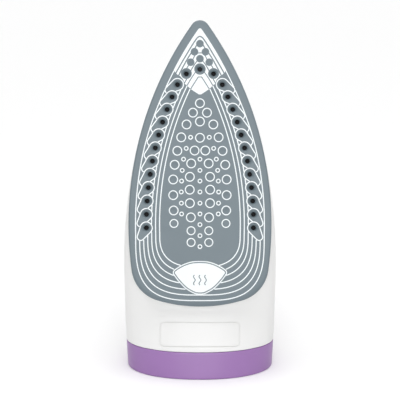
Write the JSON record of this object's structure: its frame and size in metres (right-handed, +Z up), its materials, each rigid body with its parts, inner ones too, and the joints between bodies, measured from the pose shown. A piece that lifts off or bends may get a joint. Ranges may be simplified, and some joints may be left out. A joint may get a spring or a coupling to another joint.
{
  "type": "steam generator iron",
  "caption": "Hand iron of a steam generator, standing on its heel: soleplate with steam holes, casing, handle with trigger, dial and heel cap.",
  "frame": {"origin": "middle of the heel's flat foot, on the surface that the iron stands on", "axes": "+Z up as the iron stands on its heel, -Y the way the ironing face looks, +X across the iron"},
  "size_m": [0.129, 0.1507, 0.291],
  "materials": {
    "sole_enamel": "vitreous enamel, satin",
    "white_plastic": "moulded, satin gloss",
    "purple_plastic": "moulded, satin gloss",
    "grey_plastic": "moulded, fine texture",
    "dark_plastic": "moulded",
    "ivory_plastic": "moulded",
    "soft_grip": "soft touch",
    "silicone": "moulded silicone",
    "hose_silicone": "extruded silicone",
    "cast_aluminium": "as cast",
    "element_sheath": "oxidised",
    "plate_steel": "rolled sheet",
    "zinc_steel": "zinc plated",
    "brass": "turned",
    "ceramic": "fired ceramic",
    "brown_wire": "extruded insulation",
    "blue_wire": "extruded insulation",
    "green_wire": "extruded insulation",
    "red_wire": "glass fibre sleeve",
    "black_wire": "extruded insulation",
    "amber_lens": "moulded clear plastic",
    "lamp_glass": "blown glass"
  },
  "bodies": {
    "root": {"soleplate": "sole_enamel", "sole_seal": "silicone", "steam_chamber": "cast_aluminium", "heating_element": "element_sheath", "element_insulators": "ceramic", "chamber_gasket": "silicone", "chamber_cover": "plate_steel", "cover_screws": "zinc_steel", "heat_shield": "plate_steel", "thermostat": "ceramic", "thermal_fuse": "plate_steel", "fuse_clip": "zinc_steel", "steam_nipple": "brass", "steam_hose": "hose_silicone", "hose_clips": "zinc_steel", "lower_casing": "white_plastic", "body_shell": "white_plastic", "handle_cover": "purple_plastic", "grip_pad": "soft_grip", "heel_cover": "purple_plastic", "heel_screws": "zinc_steel", "cord_gland": "grey_plastic", "cord_clamp": "dark_plastic", "clamp_screws": "zinc_steel", "terminal_block": "ivory_plastic", "terminal_screws": "brass", "live_wire": "brown_wire", "neutral_wire": "blue_wire", "earth_wire": "green_wire", "element_wires": "red_wire", "switch_wires": "black_wire", "lamp_wires": "red_wire", "switch_carrier": "dark_plastic", "micro_switch": "dark_plastic", "trigger_pin": "zinc_steel", "trigger_spring": "zinc_steel", "dial_bezel": "white_plastic", "lamp_lens": "amber_lens", "neon_lamp": "lamp_glass", "lamp_holder": "dark_plastic"},
    "trigger": {"trigger": "purple_plastic"},
    "plunger": {"switch_plunger": "ivory_plastic"},
    "dial": {"thermostat_dial": "grey_plastic", "dial_spindle": "zinc_steel", "dial_pointer": "purple_plastic"}
  },
  "joints": [
    {"name": "trigger_squeeze", "type": "hinge", "parent": "root", "child": "trigger", "pos_m": [0, 0.07859, 0.18141], "axis": [1, 0, 0], "range_deg": [0, 5], "stiffness_Nm_per_rad": 1.2, "springref_deg": -4.58, "deforming": ["trigger_spring"]},
    {"name": "plunger_travel", "type": "slide", "parent": "root", "child": "plunger", "axis": [0, 0.9703, -0.2419], "range_m": [0, 0.0014]},
    {"name": "dial_turn", "type": "hinge", "parent": "root", "child": "dial", "pos_m": [0, 0.0306, 0.12123], "axis": [0, 0.9703, -0.2419], "range_deg": [0, 270]}
  ],
  "couplings": [
    {"joint": "plunger_travel", "follows": "trigger_squeeze", "m_per_rad": 0.015}
  ]
}
